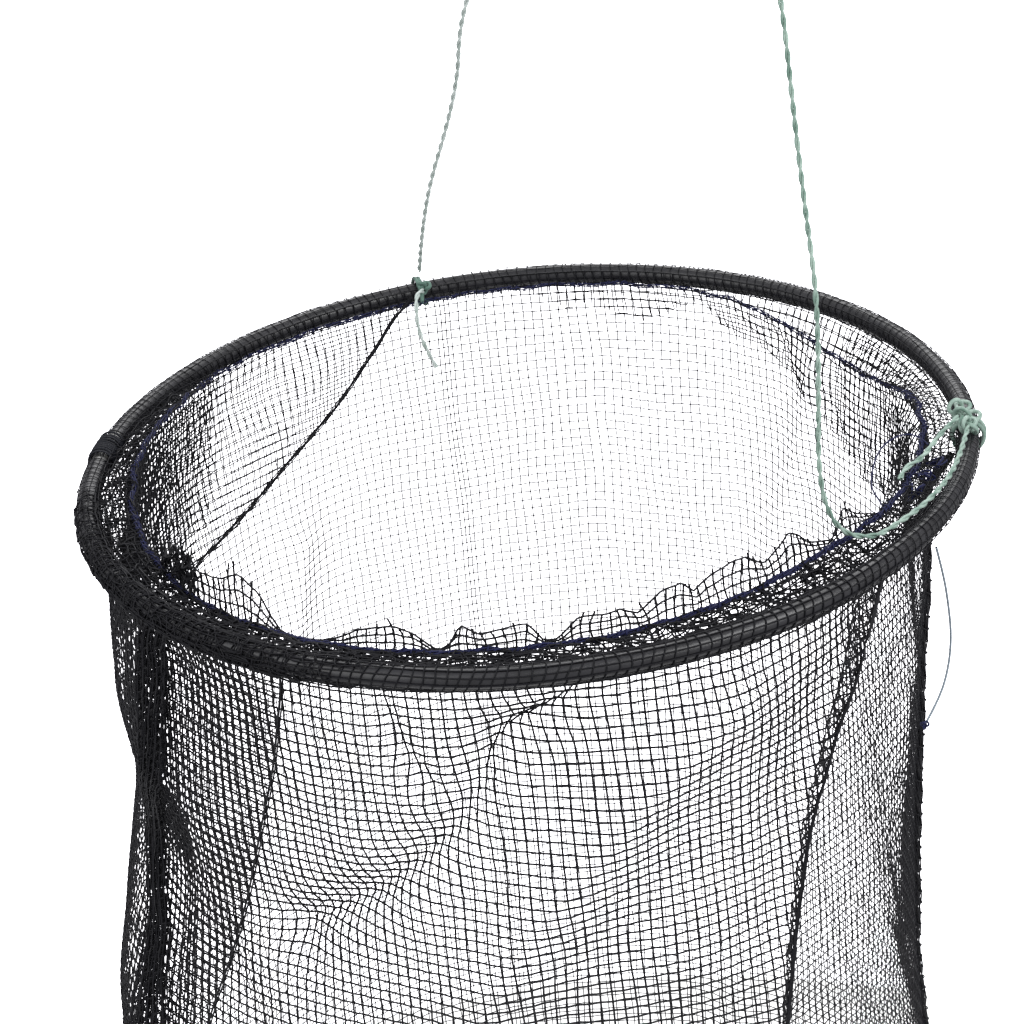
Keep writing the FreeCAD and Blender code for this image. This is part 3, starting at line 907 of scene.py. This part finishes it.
def make_band():
    """Doubled, crumpled mesh between the roll and the navy seam."""
    fine = 2
    angle = np.arange(COLUMNS * fine)[:, None] * STEP / fine
    widest = HOOP - ROLL - SEAM
    across = np.linspace(0, widest, 11)[None, :]
    width = HOOP - ROLL - seam_reach(angle)
    share = np.clip(across / width, 0, 1)
    loose = np.sin(math.pi * np.clip(share * 0.96 + 0.02, 0, 1)) ** 0.6
    parts = []
    for start, shear, crumple, seed, middle, half in BAND_LAYERS:
        tame = 0.35 + 0.65 * smooth(0.1, 0.6, hill(angle, 245, 150))
        sideways = shear * across / widest * STEP + tame * crumple * loose * 1.1 * ripple(
            angle, across, seed, (30, 110), (7, 30)
        )
        out = HOOP - ROLL - across + 0.9 * tame * crumple * loose * ripple(
            angle, across, seed + 1, (24, 90), (6, 22)
        )
        rise = start * (1 - share) + seam_rise(angle) * share**1.2
        rise = rise + 1.25 * tame * crumple * loose * ripple(
            angle, across, seed + 2, (26, 80), (9, 30)
        )
        keep = (np.abs(turn_between(angle, middle)) < half) & (across <= width + 0.6)
        grid = ring_point(angle + sideways, out, rise)
        threads = thread_at(angle + 0 * share) - 0.09 * hill(angle, 280, 75)
        parts.extend(woven(grid, fine=fine, closed=True, keep=keep, radius=threads))
    netting("hem_band_mesh", parts, ["hem_band"])


# The raw edge round the hoop: angle and height in mm. It stands up in humps at the front, and
# hangs inside the wall at the left and the right.
RAW_EDGE = [
    (0, -25), (10, -44), (18, -56), (25, -58), (28, -52), (35, -42), (41, -29), (46, -26),
    (52, -21), (57, -21), (59.5, -10), (62, -9), (66, -16), (70, -19), (74, -18), (78, -12.5),
    (82, -13.8), (85, -8), (87, -5), (139, -5), (141, -22), (143, -44), (146, -62), (165, -60),
    (185, -52), (192, -24), (198, -6), (205, 7), (210, 9.5), (214.4, 9.9), (221.7, 11),
    (225.8, 14.5), (228.3, 10), (230, 3), (231.8, -1.5), (239.8, -1), (242.3, 0.8), (244.8, 4.3),
    (247.5, 7.3), (250.3, 9), (252.8, 6.5), (255.2, -0.5), (256.4, -0.5), (258.5, 7.9),
    (262.4, 5.4), (264.9, 7.8), (267.4, 9.4), (269.2, 2.7), (270.7, 1.4), (272.2, 2),
    (274.6, 8.8), (278.4, 8.2), (280.6, 8.9), (283.3, 5.7), (285.8, 12.2), (288.4, 13.7),
    (290.7, 9.7), (292.5, 12.5), (295.7, 14.8), (298.3, 14.4), (301.7, 9.8), (304.1, 13.3),
    (305.8, 17.5), (307.9, 14.6), (310.4, 9), (313.6, 5), (316.6, 14), (319.7, 10.3), (325, 3),
    (331, 5), (337, 3), (344, -2), (352, -14),
]


def make_ruffle():
    """The raw, gathered and frayed edge past the seam."""
    fine = 2
    rows = 41
    standing = 11.6
    columns = round(COLUMNS * 1.1) * fine
    angle = np.arange(columns)[:, None] * 360 / columns + np.zeros((1, rows))
    travelled = np.arange(rows)[None, :] * PITCH / fine + np.zeros((columns, 1))
    tall = np.interp(angle, *np.array(RAW_EDGE).T, period=360) - seam_rise(angle)
    front = smooth(201, 208, angle) * smooth(345, 336, angle)
    length = front * standing + (1 - front) * np.maximum(-tall, 2)
    climb = front * tall / standing - (1 - front) * 0.97
    share = np.clip(travelled / length, 0, 1.3)
    curl = front * (1.6 * share - 1.8 * share * ripple(angle, travelled, 105, (14, 30), (60, 120)))
    crumple = (1 - front) * ripple(angle, travelled, 109, (20, 60), (14, 50)) * share
    rise = seam_rise(angle) + travelled * climb
    hung = np.minimum(seam_reach(angle) + 0.25 * travelled, wall_radius(angle, rise) - 3)
    out = front * (seam_reach(angle) - curl) + (1 - front) * (hung - 1.2 * crumple)
    sideways = 2.6 * ripple(angle, travelled, 106, (18, 38), (30, 80)) * share
    sideways = sideways + 0.3 * ripple(angle, travelled, 104, (30, 80), (12, 40))
    sideways = sideways * (0.3 + 0.7 * front)
    grid = ring_point(angle + np.degrees(sideways / SEAM), out, rise)
    keep = travelled <= length
    threads = np.maximum(thread_at(angle), 0.28)
    threads = np.maximum(threads, 0.33 * hill(angle, 172, 45) ** 0.3)
    dice = np.random.default_rng(107)
    fray = np.maximum(dice.uniform(-4.5, 3.6, columns // fine)[:, None], 0) * front[::fine, :1]
    longer = travelled[::fine] <= length[::fine] + fray
    downs = woven(grid, fine=fine, closed=True, radius=threads)[0]
    # At the left the gathered edge is crushed into several layers.
    left = (angle > 176) & (angle < 216)
    layers = [(grid, downs, angle >= 0)]
    for seed in (121, 131):
        shift = [2.2 * ripple(angle, travelled, seed + way, (50, 130), (8, 24)) for way in range(3)]
        crushed = grid + np.stack(shift, axis=-1)
        layers.append((crushed, woven(crushed, fine=fine, closed=True, radius=threads)[0], left))
    hanging = (front < 0.5) & (length > 20)
    standing_parts, hanging_parts = [], []
    for parts, chosen in ((standing_parts, ~hanging), (hanging_parts, hanging)):
        for layer, layer_downs, place in layers:
            part = chosen & place
            parts.append(masked_threads(layer_downs, longer & part[::fine], rows))
            parts.append(woven(layer, fine=fine, closed=True, keep=keep & part, radius=threads)[1])
    netting("hem_ruffle_mesh", standing_parts, ["hem_ruffle"])
    fold_up(netting("hem_skirt_mesh", hanging_parts))


def masked_threads(thread_part, keep, points_each, sides=3):
    """Keeps only the lengths between two kept points of a set of open threads."""
    points, faces = thread_part
    threads = len(points) // (points_each * sides)
    lengths = faces.reshape(threads, points_each - 1, sides, 4)
    return points, lengths[keep[:, :-1] & keep[:, 1:]].reshape(-1, 4)


def make_stitching():
    """Navy over-and-over stitches along the seam, on two slack runs of thread."""
    angle = np.linspace(0, 360, 5200, endpoint=False)
    stray = 0.55 * ripple(angle, angle * 0, 111, (30, 70), (50, 90))
    drift = 0.5 * ripple(angle, angle * 0, 112, (24, 60), (50, 90))
    loose = 0.55 + 0.3 * ripple(angle, angle * 0, 113, (20, 50), (50, 90))
    turn = np.radians(angle) * round(math.pi * 2 * SEAM / 3.0)
    uneven = turn + 1.3 * ripple(angle, angle * 0, 114, (60, 160), (50, 90))
    out = seam_reach(angle) + 0.4 + drift
    rise = seam_rise(angle) + stray
    whip = ring_point(
        angle + 0.25 * np.sin(turn * 0.5),
        out + (0.5 + loose) * np.cos(uneven),
        rise + (0.3 + loose) * np.sin(uneven),
    )
    bold = 0.2 + 0.13 * hill(angle, 275, 130)
    parts = [single(whip, bold - 0.05, 5, closed=True)]
    for phase in (0, 1.6, 3.1, 4.7):
        slow = np.radians(angle) * 37 + phase
        line = ring_point(angle, out + 0.55 * np.cos(slow), rise + 0.6 * np.sin(slow))
        parts.append(single(line, bold, 5, closed=True))
    stitching("hem_stitching_threads", parts, ["hem_stitching"])


def make_whipping():
    """Navy thread wound tight over the hoop's joint."""
    turns = 24
    middle = 168
    share = np.linspace(0, 1, turns * 24)
    around = share * turns * 2 * math.pi
    angle = middle + (share - 0.5) * 6 + 0.25 * np.sin(around * 0.37)
    reach = ROLL + 0.75 + 0.12 * np.sin(around * 0.21)
    line = ring_point(angle, HOOP + reach * np.cos(around), reach * np.sin(around))
    stitching("joint_whipping_turns", [single(line, 0.33, 6)], ["joint_whipping"], WINDING)


def tangle(place, size, seed, loops, radius=0.36):
    """A snarl of thread: seeded uneven loops about one place."""
    dice = np.random.default_rng(seed)
    angle = np.linspace(0, 2 * math.pi, 150, endpoint=False)
    line = np.zeros((150, 3))
    for count in range(1, loops + 1):
        line += np.outer(np.sin(count * angle + dice.uniform(0, 6)), dice.normal(0, 1, 3))
        line += np.outer(np.cos(count * angle), dice.normal(0, 0.6, 3))
    line = line / np.abs(line).max(axis=0) * np.array(size)
    return single(np.array(place) + line, radius, 6, closed=True)


def make_seam_knot():
    """Where the navy thread is knotted off, with one loop left standing."""
    parts = [
        tangle(ring_point(-22, 138.6, 1), (3.6, 5.4, 2.8), 121, 7),
        tangle(ring_point(-18, 141, 1.2), (3.2, 4.2, 2.4), 122, 6),
        tangle(ring_point(-26.5, 138.5, 1), (3.2, 3.6, 2.4), 123, 6),
    ]
    stitching("seam_end_knot_turns", parts, ["seam_end_knot"])
    loop = route(
        ring_points(
            (-13, 137, 2), (-10, 133, 2.5), (-10.5, 127, 3), (-14, 121.5, 2.5),
            (-20, 120.5, 1.5), (-26.5, 123.5, 1), (-30, 129, 1.5), (-33, 134, 2),
        )
    )
    stitching("stitching_loop", [single(respaced(loop, 1.0), 0.3, 6)])


def make_lashing():
    """Mesh closed round the bottom hoop and bound on with over-and-over thread."""
    fine, angle, turn = hoop_grid()
    slant = 0.4 * STEP * np.sin(turn) + 0.3 * ripple(angle, turn * 6, 141, (14, 40), (15, 50))
    reach = ROLL - 0.05 + 0.08 * ripple(angle, turn * 8, 142, (20, 60), (20, 60))
    grid = ring_point(angle + slant, HOOP + reach * np.cos(turn), reach * np.sin(turn) - WALL)
    parts = woven(grid, fine=fine, closed=True, lift=0.06, radius=THREAD * 0.9)
    netting("bottom_hoop_lashing_mesh", parts, ["bottom_hoop_lashing"], "bottom_hoop")
    angle = np.linspace(0, 360, 6000, endpoint=False)
    whip = np.radians(angle) * 150
    line = ring_point(angle, HOOP + 4.35 * np.cos(whip), 4.35 * np.sin(whip) - WALL)
    binding = [single(line, 0.3, 5, closed=True)]
    stitching("bottom_hoop_binding_thread", binding, body="bottom_hoop")


def make_base():
    """The base: flat mesh, cut round, hanging a little slack from the bottom hoop."""
    reach = HOOP - ROLL - 0.4
    count = int(reach / PITCH)
    lines = np.arange(-count, count + 1) * PITCH
    x, y = np.meshgrid(lines, lines, indexing="ij")
    away = np.hypot(x, y)
    sag = -4.5 * (1 - np.clip(away / reach, 0, 1) ** 2)
    sag = sag + 0.8 * ripple(np.degrees(x / 40), y, 131, (2, 7), (50, 160)) * (away < reach - 8)
    grid = np.stack([x, y, sag - WALL], axis=-1)
    parts = woven(grid, keep=away < reach)
    piece = netting("base_net_mesh", parts, ["base_net"], "bottom_hoop")


def paint_hoops():
    """The CAD hoops keep their shape and get their real materials."""
    paints = {"_wire": WIRE_STEEL, "_ferrule": CRIMP_STEEL, "_sheath": SHEATH}
    for hoop in ("top_hoop", "bottom_hoop"):
        for part, material in paints.items():
            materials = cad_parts[hoop + part].data.materials
            materials.clear()
            materials.append(material)


make_walls()
make_lap()
make_side_seam()
make_flap()
make_roll()
make_band()
make_ruffle()
make_stitching()
make_whipping()
make_seam_knot()
make_lashing()
make_base()
paint_hoops()


# ---------------------------------------------------------------- floor, world and lights

# The backdrop behind the mouth is over-exposed to the camera, which thins the far threads as in a
# bright studio, and the rest of the surround is plain white.
BACKDROP_SEEN = 3.0
SURROUND_SEEN = 1.3
SURROUND_LIGHT = 0.55
# How far from the camera's line the backdrop fades into the surround: its outer and inner angle.
BACKDROP_SPREAD = (18.5, 14)


def make_stage():
    """A pale floor well below the hanging trap, a white surround and soft studio light."""
    place = (CENTRE[0] / 1000, CENTRE[1] / 1000, (BOTTOM_LOW[2] - FLOOR_DROP) / 1000)
    bpy.ops.mesh.primitive_circle_add(
        vertices=96, radius=FLOOR_RADIUS / 1000, fill_type="NGON", location=place
    )
    floor = bpy.context.object
    floor.name = "floor"
    material, _, _, shader = new_material("pale_floor")
    set_sockets(shader, Base_Color=(0.9, 0.9, 0.9, 1), Roughness=0.9)
    set_sockets(shader, Emission_Color=(1, 1, 1, 1), Emission_Strength=0.7)
    floor.data.materials.append(material)
    world = bpy.data.worlds.new("surround")
    world.use_nodes = True
    nodes = world.node_tree.nodes
    links = world.node_tree.links
    back = nodes["Background"]
    set_sockets(back, Color=(0.97, 0.97, 1, 1))
    place = nodes.new("ShaderNodeTexCoord")
    facing = nodes.new("ShaderNodeVectorMath")
    facing.operation = "DOT_PRODUCT"
    rise = math.radians(CAMERA_RISE)
    facing.inputs[1].default_value = (0, math.cos(rise), -math.sin(rise))
    links.new(place.outputs["Generated"], facing.inputs[0])
    outer, inner = (math.cos(math.radians(spread)) for spread in BACKDROP_SPREAD)
    backdrop = add_node(nodes, "MapRange", To_Min=SURROUND_SEEN, To_Max=BACKDROP_SEEN)
    set_sockets(backdrop, From_Min=outer, From_Max=inner)
    backdrop.interpolation_type = "SMOOTHSTEP"
    links.new(facing.outputs["Value"], backdrop.inputs["Value"])
    path = nodes.new("ShaderNodeLightPath")
    glow = add_node(nodes, "MapRange", To_Min=SURROUND_LIGHT)
    links.new(path.outputs["Is Camera Ray"], glow.inputs["Value"])
    links.new(backdrop.outputs["Result"], glow.inputs["To Max"])
    links.new(glow.outputs["Result"], back.inputs["Strength"])
    bpy.context.scene.world = world
    # Each lamp's name, its place and size in metres, and its power.
    for name, place, size, power in (
        ("key", (0.9, -0.7, 0.7), 0.9, 16),
        ("fill", (-1.0, -0.5, 0.4), 1.2, 7),
        ("back", (0.1, 1.3, 0.6), 1.2, 9),
    ):
        light = bpy.data.lights.new(name, "AREA")
        light.size = size
        light.energy = power
        lamp = add_object(name, light)
        lamp.location = place
        aim = Vector(CENTRE / 1000) - Vector(place)
        lamp.rotation_euler = aim.to_track_quat("-Z", "Y").to_euler()


make_stage()
bpy.context.scene.view_settings.view_transform = "Standard"
